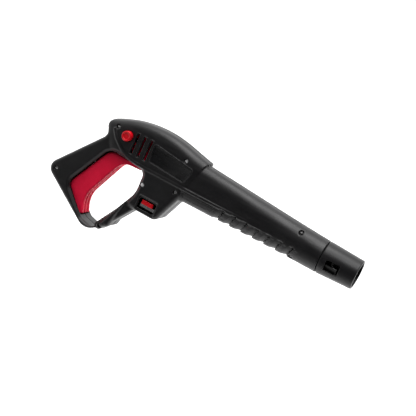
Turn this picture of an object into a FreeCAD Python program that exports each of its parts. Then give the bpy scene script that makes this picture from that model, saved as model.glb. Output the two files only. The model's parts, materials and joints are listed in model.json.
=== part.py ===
import FreeCAD, Part
import math
import os
from FreeCAD import Matrix, Vector

# Pressure washer trigger gun, millimetres.
# +X runs forward along the barrel to the muzzle, +Z is up, +Y is the gun's left side.
# The origin is the centre of the lance socket's mouth.

# ---- driving dimensions: lengths along the gun ----
COLLAR_LENGTH = 47.5
COLLAR_JOINT = 1.0           # seam between the collar and the housing's front end
PIVOT_TO_NOSE = 269.5        # trigger pivot to the housing's front end
PIVOT_TO_BARREL = 56.0       # trigger pivot to the rear of the barrel's own shape
COLLAR_START = -COLLAR_LENGTH
BARREL_END = COLLAR_START - COLLAR_JOINT
PIVOT_X = BARREL_END - PIVOT_TO_NOSE
PIVOT_Z = 2.0
BARREL_START = PIVOT_X + PIVOT_TO_BARREL

# ---- driving dimensions: housing ----
WALL = 2.8
HALF_WIDTH = 20.2            # hump and boss, half of the width across the gun
GRIP_HALF_WIDTH = 18.4
GUARD_HALF_WIDTH = 14.0
GRIP_EDGE_RADIUS = 5.5
BOSS_EDGE_RADIUS = 7.0
BOSS_INSET = 0.2
LOOP_LINING = 1.0            # extra wall thickness round the finger loop
GUARD_EDGE_RADIUS = 3.6
SPLIT_GAP = 0.05             # air between the two halves at the middle plane
RIDGE_PROUD = 0.7
RIDGE_WIDTH = 3.2
BEVEL_DEPTH = 3.6            # bevelled rim round the finger loop, seen from the side
BEVEL_INSET = 3.4            # how far in from the grip's side the bevel starts

# ---- driving dimensions: barrel and nose ----
SOCKET_RADIUS = 16.2
SOCKET_LENGTH = 21.0         # plain bore at the mouth, before the insert
SEAT_STEP = 0.5              # the bore behind is this much wider, and holds the insert
MUZZLE_WALL = 3.2
COLLAR_TAPER = 2.2           # how much wider the collar is at its rear
LIP_RADIUS = 1.4
MUZZLE_RADIUS = SOCKET_RADIUS + MUZZLE_WALL
BARREL_RADIUS = MUZZLE_RADIUS + COLLAR_TAPER
SEAT_RADIUS = SOCKET_RADIUS + SEAT_STEP
SPIGOT_LENGTH = 14.0
SPIGOT_CLEARANCE = 0.15
SPIGOT_GROOVE = 1.5
BULKHEAD = 3.4
COLLAR_CHAMFER = 0.6
WINDOW_START = -39.5
WINDOW_END = -21.0
WINDOW_LOW = -10.0
WINDOW_HIGH = 4.0
WINDOW_CORNER = 1.6
RIB_COUNT = 7
RIB_PITCH = 16.6
RIB_TO_NOSE = 32.3           # foremost groove to the housing's front end, at the groove's upper end
RIB_DEPTH = 2.7
RIB_RAMP = 8.2               # length of the ramp behind each step
RIB_GRAZE = 0.05             # depth at the ramp's shallow end
RIB_LEAN = 0.5               # how far the grooves run back per unit down
RIB_TOP = -3.2
RIB_FACET_START = 1.8
RIB_FACET_LENGTH = 5.2
RIB_FACET_DEPTH = 0.5
RIB_FACET_TOP = -5.6
RIB_FACET_LOW = -17.0

# ---- driving dimensions: water way ----
TUBE_RADIUS = 5.0
TUBE_BORE = 3.2
TUBE_FIT = 0.3
VALVE_HEIGHT = 18.0          # height of the valve bore above the barrel axis
VALVE_BORE = 6.0
VALVE_REAR = PIVOT_X + 18.0
VALVE_LENGTH = 38.0
VALVE_HALF_WIDTH = 9.5
VALVE_WIDE_SIDE = 14.5       # the left side is thicker, because the outlet passage runs in it
VALVE_LOW = 9.0
VALVE_HIGH = 27.0
VALVE_BORE_LENGTH = 33.0
LEG_REAR = 50.0              # leg down to the outlet tube, from the trigger pivot
LEG_FRONT = 72.0
LEG_HALF_WIDTH = 8.0
LEG_STEP = 1.0               # leg's top below the block's top
VALVE_FIT = 0.1              # air round the valve body in its moulded seats
NECK_RADIUS = 8.0
NECK_LOW = 4.0
NECK_OVERLAP = 1.0           # how far the neck reaches into the valve block
NECK_SEAT = 6.0              # how far the inlet tube goes up into the neck
PASSAGE_SIDE = 10.0          # outlet passage's distance to the left of the valve bore
PASSAGE_FROM_REAR = 6.6
CHAMBER_FROM_REAR = 8.8      # cross hole from the bore, between the stem seal and the seat
PASSAGE_OVERLAP = 1.0
PASSAGE_PAST_OUTLET = 2.8
CHAMBER_DRILL = 1.4
PASSAGE_DRILL = 1.8
CROSS_DRILL = 2.2
DROP_DRILL = 1.9
OUTLET_POCKET = 2.4
INLET_X = PIVOT_X + 37.0
INLET_RADIUS = 5.0
INLET_BORE = 3.2
OUTLET_X = PIVOT_X + 62.0
OUTLET_SEAT = 2.5            # the outlet tube's rear end, ahead of the outlet passage
HOSE_BORE = 8.0
HOSE_PLUG_LENGTH = 16.4
HOSE_SOCKET_RADIUS = 12.4
INLET_TUBE_LOW = -42.0
INLET_TUBE_LENGTH = 52.0
HOSE_SOCKET_END = -60.4
HOSE_SOCKET_TOP = -35.0
HOSE_SEAL_Z = -46.0
HOSE_SEAL_WIRE = 0.9
HOSE_GROOVE_DEPTH = 2.0
HOSE_GROOVE_WIDTH = 2.2
OUTLET_SEAL_X = OUTLET_X + 6.5
OUTLET_SEAL_WIRE = 0.6
SEAL_GROOVE_DEPTH = 1.3
SEAL_GROOVE_WIDTH = 1.5
STEM_RADIUS = 2.0
RUN_FIT = 0.05               # radial clearance of everything that turns or slides in a hole

# ---- driving dimensions: controls ----
PIN_RADIUS = 2.5
TRIGGER_HALF_WIDTH = 11.0
TRIGGER_SLOT = 12.4          # half width of the slot in the grip
LEVER_HALF_WIDTH = 6.5
LEVER_SLOT = 7.5
BUTTON_X = PIVOT_X - 24.5
BUTTON_Z = 24.0
BUTTON_RADIUS = 7.0
BUTTON_NECK = 3.4
BUTTON_PROUD = 6.0
BUTTON_HEAD = 11.0           # length of the button's full-diameter head
BUTTON_TAIL = 8.0
BUTTON_TAIL_PROUD = 0.3
BUTTON_ROUND = 1.2
BUTTON_DISH = 2.6            # plain rim round the dished face
BUTTON_DISH_DEPTH = 0.9
CATCH_Z = -50.0
CATCH_INSET = 2.8            # catch button's face behind the housing's side
CATCH_FACE = -HALF_WIDTH + CATCH_INSET
CATCH_BAR_OUT = CATCH_FACE + 2.8
CATCH_BAR_IN = CATCH_BAR_OUT + 1.4
CATCH_LEG_SPAN = 9.8         # from the hose bore's axis to the middle of each leg of the latch
CATCH_LEG_WIDTH = 2.0
CATCH_LEG_THICK = 1.4
CATCH_LEG_END = 9.5
CATCH_SLOT_FIT = 0.4
CATCH_SLOT_SIDE = 0.35
CATCH_PUSH_ROOM = 3.5        # room behind the latch bar for its travel
CATCH_FLAT_LOW = 3.4
CATCH_FLAT_HIGH = 8.6
CATCH_BAR_LOW = 2.3
CATCH_BAR_HIGH = 1.6
CATCH_BUTTON_REAR = 9.5      # button's ends, from the hose bore's axis
CATCH_BUTTON_FRONT = 7.5
CATCH_BUTTON_LOW = 1.8
CATCH_BUTTON_HIGH = 7.6
CATCH_BUTTON_ROUND = 0.7
CATCH_SPRING_COIL = 1.7
CATCH_SPRING_WIRE = 0.45
CATCH_SPRING_TURNS = 4
CATCH_SPRING_LENGTH = 6.0
CATCH_SPRING_GAP = 0.6
TRIGGER_SQUEEZE = 8.0        # degrees
SWEEP_STEPS = 6              # positions of the trigger that its room is cut from
TRIGGER_MARGIN = 1.0
TRIGGER_EDGE_RADIUS = 2.2
TRIGGER_GROOVE_DEPTH = 1.2
TRIGGER_GROOVE_Y = 3.7
TRIGGER_GROOVE_WIDTH = 2.2
TRIGGER_GROOVE_END = 4.0     # grooves stop this far behind the pivot
TRIGGER_GROOVE_TOP = -11.0
TRIGGER_HUB_RADIUS = 6.0
PIN_HALF_LENGTH = 15.0
CATCH_WINDOW_REAR = INLET_X - 13.0
CATCH_WINDOW_FRONT = INLET_X + 11.5
CATCH_WINDOW_LOW = CATCH_Z - 4.5
CATCH_WINDOW_HIGH = CATCH_Z + 9.5
CATCH_WINDOW_CORNER = 2.0

# ---- driving dimensions: valve internals ----
SEAT_FRONT = VALVE_REAR + 13.5
SEAT_THICK = 3.0
GUIDE_LENGTH = 6.0
SEAT_BORE = 3.0
BALL_RADIUS = 3.8
STEM_REAR = VALVE_REAR - 3.7
STEM_HEAD_RADIUS = 2.6
STEM_HEAD_LENGTH = 0.9
STEM_GAP = 0.05              # between the stem's tip and the ball at rest
STEM_SEAL_WIRE = 0.7
SEAL_AIR = 0.05              # air beside a seal or a spring's last turn
VALVE_SPRING_COIL = 3.4
VALVE_SPRING_WIRE = 0.5
VALVE_SPRING_TURNS = 5

# ---- driving dimensions: sprung seal sleeve in the nose ----
TUBE_END = COLLAR_START + 5.5
SLEEVE_REAR = COLLAR_START - 0.5
SLEEVE_LENGTH = 14.5
SLEEVE_RADIUS = 9.5
SLEEVE_RIBS = 12
SLEEVE_RIB_RADIUS = 0.9
SLEEVE_THROAT = 3.4
SLEEVE_TRAVEL = 4.0
SLEEVE_END_PLAY = 0.3
SLEEVE_SPRING_COIL = 7.0
SLEEVE_SPRING_WIRE = 0.7
SLEEVE_SPRING_TURNS = 4.5
SLEEVE_ROOM = SOCKET_RADIUS - 1.6
LANCE_SEAL_RADIUS = 6.4
LANCE_SEAL_GROOVE = 1.0
LANCE_SEAL_WIRE = 0.95
INSERT_START = COLLAR_START + 1.5
INSERT_RING_WALL = 3.4
INSERT_RING_LENGTH = 5.0
TROUGH_LENGTH = 22.0
TROUGH_WALL = 2.2
TROUGH_TOP = -3.2
TROUGH_RIBS = 7
TROUGH_RIB_RADIUS = 0.8
TROUGH_RIB_STEP = 17.0       # degrees between ribs
SPIGOT_RADIUS = BARREL_RADIUS - WALL - SPIGOT_CLEARANCE
SPIGOT_GROOVE_START = BARREL_END - 9.0
SPIGOT_GROOVE_WIDTH = 3.2

# ---- driving dimensions: moulded details ----
TUBE_SUPPORTS = [0.28, 0.56, 0.86]   # shares of the barrel's length
SUPPORT_THICK = 2.4
BADGE_POCKET = 1.3
BADGE_SINK = 0.35            # badge's face behind the housing's side
BADGE_FIT = 0.25
CATCH_RECESS = 2.2
CATCH_RECESS_MARGIN = 2.2    # flat floor left round the window
CATCH_RECESS_SLOPE = 5.2
BUTTON_COLLAR = 2.4          # wall of the sleeve that guides the button
BUTTON_COLLAR_START = 10.5
PIN_COLLAR = 3.0
PIN_COLLAR_GAP = 0.4         # end play of the trigger's hub
GUIDE_LENGTH_OUT = 12.0      # moulded sleeves run out into the housing's side
SHELF_HIGH = -33.5           # shelf under the valve that carries the inlet
SHELF_LOW = -36.0
SPRING_STOP_FRONT = -87.0    # rear stop of the trigger spring, from the trigger pivot
SPRING_STOP_LENGTH = 4.5
SPRING_STOP_HALF_WIDTH = 8.0
SPRING_HEIGHT = -35.0
SPRING_LENGTH = 21.5
SPRING_COIL = 4.0
SPRING_WIRE = 0.6
SPRING_TURNS = 7
SPRING_SEAT = 0.2            # air between the last turn and its stop
VALVE_WEB = 49.4             # cross web behind the outlet leg, from the trigger pivot
VALVE_WEB_LOW = -22.0
KEEPER_SINK = 1.0            # how deep the keeper ring is rooted in the barrel's wall
KEEPER_FIT = 0.15
KEEPER_PLAY = 0.3
SCREW_BITE = 8.0             # how far a screw goes into the left half
BEYOND = 40.0                # past the gun's sides, for cuts that go right through
OVERRUN = 0.01               # how far a cutting core passes the slab it is taken from
SAME_PLACE = 0.01            # closer than this is the same place


def from_pivot(rows):
    """The same rows, with x counted from the muzzle instead of the trigger pivot."""
    return [(PIVOT_X + row[0], *row[1:]) for row in rows]


def along_barrel(share):
    return BARREL_START + (BARREL_END - BARREL_START) * share


# ---- screws ----
SCREW_HEAD_RADIUS = 2.7
SCREW_HEAD_HEIGHT = 2.2
SCREW_RADIUS = 1.5
BOSS_RADIUS = 3.8
SCREW_HEAD_FIT = 0.15
SCREW_SHANK_FIT = 0.2
PRESS_FIT = 0.02             # radial air in a hole that grips its pin or thread
SOCKET_FIT = 0.15            # radial air round the hose socket and the inlet tube
SLOT_HALF_WIDTH = 0.45
SLOT_HALF_LENGTH = 1.9
SLOT_DEPTH = 1.2
NOSE_SCREW_X = BARREL_END - 34.5
# x from the trigger pivot, z, depth of the head's seat below the middle plane
SCREWS = from_pivot([
    (-43.0, 29.0, 14.0),
    (62.0, 30.0, 14.5),
    (20.0, -25.0, 16.5),
    (65.0, -13.0, 15.0),
    (-105.0, -62.0, 14.0),
    (-16.0, -104.0, 9.5),
]) + [
    (NOSE_SCREW_X, 17.0, 9.5),
    (NOSE_SCREW_X, -17.0, 7.5),
]

# ---- hump: x from the trigger pivot, half width, top, bottom, squareness of the section ----
HUMP_STATIONS = from_pivot([
    (-59.5, 14.5, 31.5, 20.0, 2.6),
    (-53.0, 17.6, 36.0, 4.0, 2.9),
    (-43.0, 19.4, 40.0, -12.0, 3.2),
    (-28.0, HALF_WIDTH, 45.0, -21.0, 3.4),
    (-10.0, HALF_WIDTH, 48.8, -24.0, 3.5),
    (13.0, HALF_WIDTH, 50.8, -24.0, 3.5),
    (33.0, HALF_WIDTH, 50.0, -24.0, 3.4),
    (53.0, HALF_WIDTH, 46.8, -24.0, 3.2),
    (73.0, HALF_WIDTH, 42.2, -24.0, 3.1),
    (101.0, HALF_WIDTH, 35.0, -24.0, 3.0),
])
# ---- hump's front end: x from the trigger pivot and z of the leaning plane that closes it ----
HUMP_FRONT = from_pivot([
    (74.5, -40.0),
    (76.0, 0.0),
    (96.0, 60.0),
])
HUMP_FRONT_CLEAR = 40.0
# ---- barrel: the same five values ----
BARREL_STATIONS = [
    (BARREL_START, 19.6, 38.0, -23.0, 2.9),
    (along_barrel(0.17), 19.7, 34.6, -22.6, 2.8),
    (along_barrel(0.34), 19.9, 31.8, -22.2, 2.7),
    (along_barrel(0.52), 20.3, 28.8, -21.8, 2.5),
    (along_barrel(0.74), BARREL_RADIUS - 0.8, BARREL_RADIUS + 3.6, 0.3 - BARREL_RADIUS, 2.3),
    (along_barrel(0.9), BARREL_RADIUS - 0.3, BARREL_RADIUS + 1.3, 0.2 - BARREL_RADIUS, 2.1),
    (BARREL_END, BARREL_RADIUS, BARREL_RADIUS, -BARREL_RADIUS, 2.0),
]

# ---- outlines in the middle plane: x from the trigger pivot, z, corner radius ----
GRIP_OUTLINE = from_pivot([
    (-34.0, 20.0, 4.0),
    (-54.5, 20.0, 3.0),
    (-56.5, 9.0, 12.0),
    (-122.0, -64.5, 12.5),
    (-36.0, -120.0, 20.0),
    (-4.0, -99.5, 6.0),
    (18.0, -10.0, 8.0),
    (18.0, 10.0, 4.0),
])
BOSS_OUTLINE = from_pivot([
    (0.0, 10.0, 4.0),
    (0.0, -9.0, 4.0),
    (8.0, -61.0, 9.0),
    (54.0, -61.0, 9.0),
    (75.0, -14.0, 6.0),
    (75.0, 10.0, 4.0),
])
LOOP_OUTLINE = from_pivot([
    (13.5, -9.0, 9.0),
    (14.0, -40.0, 34.0),
    (-24.0, -112.0, 8.0),
    (-45.0, -107.0, 12.0),
    (-82.5, -71.0, 12.0),
    (-43.0, -3.0, 18.0),
])
GUARD_OUTLINE = from_pivot([
    (14.0, -44.0, 5.0),
    (-27.0, -108.0, 4.5),
    (-17.0, -112.0, 4.5),
    (27.0, -52.0, 5.0),
])
TRIGGER_OUTLINE = from_pivot([
    (7.0, -11.5, 3.0),
    (-22.0, -13.0, 22.0),
    (-55.0, -80.0, 34.0),
    (-47.5, -102.5, 1.0),
    (-52.5, -105.5, 1.0),
    (-83.0, -72.0, 10.0),
    (-44.0, -6.5, 16.0),
    (-12.0, -6.5, 4.0),
    (-12.0, 4.0, 3.0),
    (12.0, 4.0, 3.0),
])
LEVER_OUTLINE = from_pivot([
    (11.5, -10.5, 3.0),
    (14.0, 4.0, 6.0),
    (14.0, 24.0, 4.0),
    (7.0, 35.0, 3.0),
    (-12.0, 35.0, 4.0),
    (-15.0, 15.0, 2.0),
    (-30.0, 15.0, 1.5),
    (-30.0, 9.5, 1.5),
    (-16.0, 6.0, 4.0),
    (-18.0, -10.5, 3.0),
])
BADGE_OUTLINE = from_pivot([
    (18.0, 7.6, 2.5),
    (15.0, 30.6, 3.5),
    (76.5, 22.6, 2.5),
    (70.0, 4.0, 2.5),
])
RIDGE_LINE = from_pivot([
    (-46.5, 26.0),
    (-39.0, 15.5),
    (-29.0, 7.0),
    (-17.0, 0.0),
    (0.0, -3.2),
    (28.0, -3.6),
    (78.0, -3.4),
]) + [
    (along_barrel(0.34), -3.0),
    (along_barrel(0.57), -1.8),
    (along_barrel(0.83), -0.4),
]
VENT_FIRST = PIVOT_X - 11.5
VENT_PITCH = 10.4
VENT_COUNT = 3
VENT_LOW = 5.0
VENT_HIGH = 33.0
VENT_WIDTH = 3.0
VENT_REACH = 12.0            # how near the middle plane the vent slots are cut

AXIS_X = Vector(1, 0, 0)
AXIS_Y = Vector(0, 1, 0)
AXIS_Z = Vector(0, 0, 1)


# ---- small tools ----
def rounded_wire(outline, grow=0.0):
    """Closed wire in the XZ plane through corner points, each rounded by its own arc."""
    count = len(outline)
    starts = []
    ends = []
    middles = []
    for index in range(count):
        before = Vector(outline[index - 1][0], 0, outline[index - 1][1])
        here = Vector(outline[index][0], 0, outline[index][1])
        after = Vector(outline[(index + 1) % count][0], 0, outline[(index + 1) % count][1])
        radius = outline[index][2]
        back = (before - here).normalize()
        ahead = (after - here).normalize()
        half_angle = back.getAngle(ahead) / 2
        reach = radius / math.tan(half_angle)
        to_centre = (back + ahead).normalize()
        centre = here + to_centre * (radius / math.sin(half_angle))
        starts.append(here + back * reach)
        ends.append(here + ahead * reach)
        middles.append(centre - to_centre * radius)
    edges = []
    for index in range(count):
        edges.append(Part.Arc(starts[index], middles[index], ends[index]).toShape())
        following = starts[(index + 1) % count]
        if ends[index].distanceToPoint(following) > 1e-4:
            edges.append(Part.LineSegment(ends[index], following).toShape())
    wire = Part.Wire(edges)
    if grow:
        wire = wire.makeOffset2D(grow)
    return wire


def plate(outline, low, high, grow=0.0):
    """Solid of an XZ outline between two Y values."""
    face = Part.Face(rounded_wire(outline, grow))
    face.translate(Vector(0, low, 0))
    return face.extrude(Vector(0, high - low, 0))


def soft_plate(outline, half_width, edge_radius):
    """Plate centred on the middle plane with both rims rounded."""
    solid = plate(outline, -half_width, half_width)
    rims = []
    for edge in solid.Edges:
        box = edge.BoundBox
        if box.YLength < SAME_PLACE and abs(abs(box.YMin) - half_width) < SAME_PLACE:
            rims.append(edge)
    return solid.makeFillet(edge_radius, rims)


def box(x0, x1, y0, y1, z0, z1):
    return Part.makeBox(x1 - x0, y1 - y0, z1 - z0, Vector(x0, y0, z0))


def rod(radius, start, axis, length):
    return Part.makeCylinder(radius, length, start, axis)


def tube(radius, bore, start, axis, length):
    return rod(radius, start, axis, length).cut(rod(bore, start, axis, length))


def ring(ring_radius, thickness, centre, axis):
    return Part.makeTorus(ring_radius, thickness, centre, axis)


def fuse_all(shapes):
    return shapes[0].multiFuse(shapes[1:])


def section(x, half_width, top, bottom, squareness):
    """Smooth closed section across the gun, from an oval to a rounded square."""
    middle = (top + bottom) / 2
    half_height = (top - bottom) / 2
    points = []
    steps = 24
    for step in range(steps):
        angle = 2 * math.pi * step / steps
        across = math.cos(angle)
        along = math.sin(angle)
        y = half_width * math.copysign(abs(across) ** (2 / squareness), across)
        z = middle + half_height * math.copysign(abs(along) ** (2 / squareness), along)
        points.append(Vector(x, y, z))
    curve = Part.BSplineCurve()
    curve.interpolate(points, PeriodicFlag=True)
    return Part.Wire([curve.toShape()])


def body_loft(stations, wall=0.0):
    wires = []
    for x, half_width, top, bottom, squareness in stations:
        wires.append(section(x, half_width - wall, top - wall, bottom + wall, squareness))
    return Part.makeLoft(wires, True, False)


def coil(radius, wire_radius, turns, start, axis, length):
    """Helical spring with its wire centre line between start and start + axis * length."""
    pitch = length / turns
    path = Part.Wire(Part.makeHelix(pitch, length, radius).Edges)
    profile = Part.Wire(Part.makeCircle(wire_radius, Vector(radius, 0, 0), Vector(0, 1, 0)))
    spring = path.makePipeShell([profile], True, True)
    turn = FreeCAD.Rotation(AXIS_Z, axis)
    spring.Placement = FreeCAD.Placement(start, turn)
    return spring


# ---- housing ----
def hump(wall=0.0):
    """Raised cover shape over the valve, its front end cut by a leaning plane."""
    solid = body_loft(HUMP_STATIONS, wall)
    corners = [Vector(x, -BEYOND, z) for x, z in HUMP_FRONT]
    clear_x = corners[-1].x + HUMP_FRONT_CLEAR
    corners.append(Vector(clear_x, -BEYOND, corners[-1].z))
    corners.append(Vector(clear_x, -BEYOND, corners[0].z))
    face = Part.Face(Part.makePolygon(corners + corners[:1]))
    return solid.cut(face.extrude(Vector(0, 2 * BEYOND, 0)))


def loop_cutter():
    """Finger loop with a bevelled rim on both sides."""
    middle = GRIP_HALF_WIDTH - BEVEL_INSET
    cutter = plate(LOOP_OUTLINE, -BEYOND, BEYOND)
    for side in (-1, 1):
        inner = rounded_wire(LOOP_OUTLINE)
        inner.translate(Vector(0, side * middle, 0))
        slope = BEVEL_DEPTH / BEVEL_INSET
        reach = 2 * BEVEL_INSET
        outer = rounded_wire(LOOP_OUTLINE, slope * reach)
        outer.translate(Vector(0, side * (middle + reach), 0))
        cutter = cutter.fuse(Part.makeLoft([inner, outer], True, True))
    return cutter


def ridge():
    """Raised band between the hump and the lower body, and along the barrel."""
    upper = []
    lower = []
    for x, z in RIDGE_LINE:
        upper.append(Vector(x, 0, z))
    spine = Part.BSplineCurve()
    spine.interpolate(upper)
    steps = 24
    first = spine.FirstParameter
    last = spine.LastParameter
    upper = []
    for step in range(steps + 1):
        value = first + (last - first) * step / steps
        point = spine.value(value)
        direction = spine.tangent(value)[0]
        normal = Vector(-direction.z, 0, direction.x).normalize()
        upper.append(point + normal * (RIDGE_WIDTH / 2))
        lower.append(point - normal * (RIDGE_WIDTH / 2))
    top = Part.BSplineCurve()
    top.interpolate(upper)
    bottom = Part.BSplineCurve()
    bottom.interpolate(lower)
    edges = [
        top.toShape(),
        Part.LineSegment(upper[-1], lower[-1]).toShape(),
        bottom.toShape(),
        Part.LineSegment(lower[0], upper[0]).toShape(),
    ]
    face = Part.Face(Part.Wire(Part.sortEdges(edges)[0]))
    face.translate(Vector(0, -HALF_WIDTH - RIDGE_PROUD, 0))
    return face.extrude(Vector(0, 2 * (HALF_WIDTH + RIDGE_PROUD), 0))


def outer_form():
    grip = soft_plate(GRIP_OUTLINE, GRIP_HALF_WIDTH, GRIP_EDGE_RADIUS)
    boss = soft_plate(BOSS_OUTLINE, HALF_WIDTH - BOSS_INSET, BOSS_EDGE_RADIUS)
    solid = fuse_all([grip, boss, hump(), body_loft(BARREL_STATIONS)])
    solid = solid.cut(loop_cutter())
    guard = soft_plate(GUARD_OUTLINE, GUARD_HALF_WIDTH, GUARD_EDGE_RADIUS)
    solid = solid.fuse(guard)
    return solid


def inner_form():
    grip = plate(GRIP_OUTLINE, -GRIP_HALF_WIDTH + WALL, GRIP_HALF_WIDTH - WALL, -WALL)
    boss = plate(BOSS_OUTLINE, -HALF_WIDTH + WALL, HALF_WIDTH - WALL, -WALL)
    solid = fuse_all([grip, boss, hump(WALL), body_loft(BARREL_STATIONS, WALL)])
    solid = solid.cut(plate(LOOP_OUTLINE, -BEYOND, BEYOND, WALL + LOOP_LINING))
    guard = plate(GUARD_OUTLINE, -GUARD_HALF_WIDTH + WALL, GUARD_HALF_WIDTH - WALL, -WALL)
    return solid.fuse(guard)


def leaned(shape, lean):
    """Shear a shape so that it leans back as it goes down, pivoting on the rib line."""
    matrix = Matrix()
    matrix.A13 = lean
    matrix.A14 = -lean * RIB_TOP
    return shape.transformGeometry(matrix)


def barrel_at(x):
    """The barrel's five section values at any x, by straight interpolation."""
    for rear, front in zip(BARREL_STATIONS, BARREL_STATIONS[1:]):
        if rear[0] <= x <= front[0]:
            share = (x - rear[0]) / (front[0] - rear[0])
            return [low + (high - low) * share for low, high in zip(rear, front)]
    raise ValueError("x is off the barrel")


def barrel_core(x0, depth0, x1, depth1):
    """Piece of the barrel between two x values, shrunk by a different depth at each end."""
    wires = []
    for x, depth in ((x0, depth0), (x1, depth1)):
        at, half_width, top, bottom, squareness = barrel_at(x)
        wires.append(section(x, half_width - depth, top - depth, bottom + depth, squareness))
    return Part.makeLoft(wires, True, False)


def grip_grooves():
    """Finger ribs under the barrel: each ramps inwards to a groove, then steps out to the next."""
    cutters = []
    for index in range(RIB_COUNT):
        groove = BARREL_END - RIB_TO_NOSE - RIB_PITCH * index
        ramp = groove - RIB_RAMP
        slab = box(ramp, groove, -BEYOND, BEYOND, -BEYOND, RIB_TOP)
        core = barrel_core(ramp - OVERRUN, RIB_GRAZE, groove + OVERRUN, RIB_DEPTH)
        cutters.append(leaned(slab.cut(core), RIB_LEAN))
        facet = groove + RIB_FACET_START
        facet_end = facet + RIB_FACET_LENGTH
        inset = box(facet, facet_end, -BEYOND, BEYOND, RIB_FACET_LOW, RIB_FACET_TOP)
        core = barrel_core(facet - OVERRUN, RIB_FACET_DEPTH, facet_end + OVERRUN, RIB_FACET_DEPTH)
        cutters.append(leaned(inset.cut(core), RIB_LEAN))
    return Part.makeCompound(cutters)


def catch_recess():
    """Shallow pocket round the hose catch, with a sloping upper edge."""
    rear = CATCH_WINDOW_REAR - CATCH_RECESS_MARGIN
    front = CATCH_WINDOW_FRONT + CATCH_RECESS_MARGIN
    floor = -HALF_WIDTH + CATCH_RECESS
    clear = floor - CATCH_RECESS_SLOPE
    low = HOSE_SOCKET_END - CATCH_RECESS_SLOPE
    high = CATCH_WINDOW_HIGH + CATCH_RECESS_MARGIN
    slope = Part.makePolygon([
        Vector(rear, clear, high + CATCH_RECESS_SLOPE),
        Vector(rear, clear, low),
        Vector(rear, floor, low),
        Vector(rear, floor, high),
        Vector(rear, clear, high + CATCH_RECESS_SLOPE),
    ])
    return Part.Face(slope).extrude(Vector(front - rear, 0, 0))


def trigger_room():
    """Space the trigger and its lever sweep, with a margin all round."""
    pieces = []
    for step in range(SWEEP_STEPS + 1):
        angle = TRIGGER_SQUEEZE * step / SWEEP_STEPS
        for outline, half_width in ((TRIGGER_OUTLINE, TRIGGER_SLOT), (LEVER_OUTLINE, LEVER_SLOT)):
            piece = plate(outline, -half_width, half_width, TRIGGER_MARGIN)
            piece.rotate(Vector(PIVOT_X, 0, PIVOT_Z), AXIS_Y, angle)
            pieces.append(piece)
    return fuse_all(pieces)


def valve_block(grow=0.0):
    """Outside of the brass valve body."""
    wide = VALVE_WIDE_SIDE + grow
    front = VALVE_REAR + VALVE_LENGTH
    block = box(VALVE_REAR - grow, front, -VALVE_HALF_WIDTH - grow, wide, VALVE_LOW - grow, VALVE_HIGH + grow)
    rear = PIVOT_X + LEG_REAR - grow
    front = PIVOT_X + LEG_FRONT + grow
    leg = box(rear, front, -LEG_HALF_WIDTH - grow, wide, -LEG_HALF_WIDTH - grow, VALVE_HIGH - LEG_STEP + grow)
    neck_length = VALVE_LOW - NECK_LOW + NECK_OVERLAP + grow
    neck = rod(NECK_RADIUS + grow, Vector(INLET_X, 0, NECK_LOW - grow), AXIS_Z, neck_length)
    return fuse_all([block, leg, neck])


def shell_inside():
    """Bosses, guides and ribs moulded inside the two halves, before the holes are cut."""
    room = inner_form()
    pieces = []
    for share in TUBE_SUPPORTS:
        x = along_barrel(share)
        pieces.append(box(x, x + SUPPORT_THICK, -BEYOND, BEYOND, -BEYOND, BEYOND))
    web = PIVOT_X + VALVE_WEB
    pieces.append(box(web - SUPPORT_THICK, web, -BEYOND, BEYOND, VALVE_WEB_LOW, 2 * BEYOND))
    shelf = PIVOT_X + VALVE_WEB + SUPPORT_THICK
    pieces.append(box(VALVE_REAR, shelf, -BEYOND, BEYOND, SHELF_LOW, SHELF_HIGH))
    stop = PIVOT_X + SPRING_STOP_FRONT
    half = SPRING_STOP_HALF_WIDTH
    pieces.append(box(stop - SPRING_STOP_LENGTH, stop, -half, half, SPRING_HEIGHT - half, SPRING_HEIGHT + half))
    for x, z, seat in SCREWS:
        pieces.append(rod(BOSS_RADIUS, Vector(x, -BEYOND, z), AXIS_Y, 2 * BEYOND))
    for side in (-1, 1):
        axis = AXIS_Y * side
        start = Vector(BUTTON_X, side * BUTTON_COLLAR_START, BUTTON_Z)
        pieces.append(rod(BUTTON_RADIUS + BUTTON_COLLAR, start, axis, GUIDE_LENGTH_OUT))
        start = Vector(PIVOT_X, side * (TRIGGER_HALF_WIDTH + PIN_COLLAR_GAP), PIVOT_Z)
        pieces.append(rod(PIN_RADIUS + PIN_COLLAR, start, axis, GUIDE_LENGTH_OUT))
    inside = fuse_all(pieces).common(room)
    inside = inside.cut(trigger_room())
    inside = inside.cut(valve_block(VALVE_FIT))
    keeper_bore = SPIGOT_RADIUS - SPIGOT_GROOVE + KEEPER_FIT
    start = Vector(SPIGOT_GROOVE_START + KEEPER_PLAY, 0, 0)
    keeper_length = SPIGOT_GROOVE_WIDTH - 2 * KEEPER_PLAY
    keeper = tube(BARREL_RADIUS - KEEPER_SINK, keeper_bore, start, AXIS_X, keeper_length)
    return inside.fuse(keeper)


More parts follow.
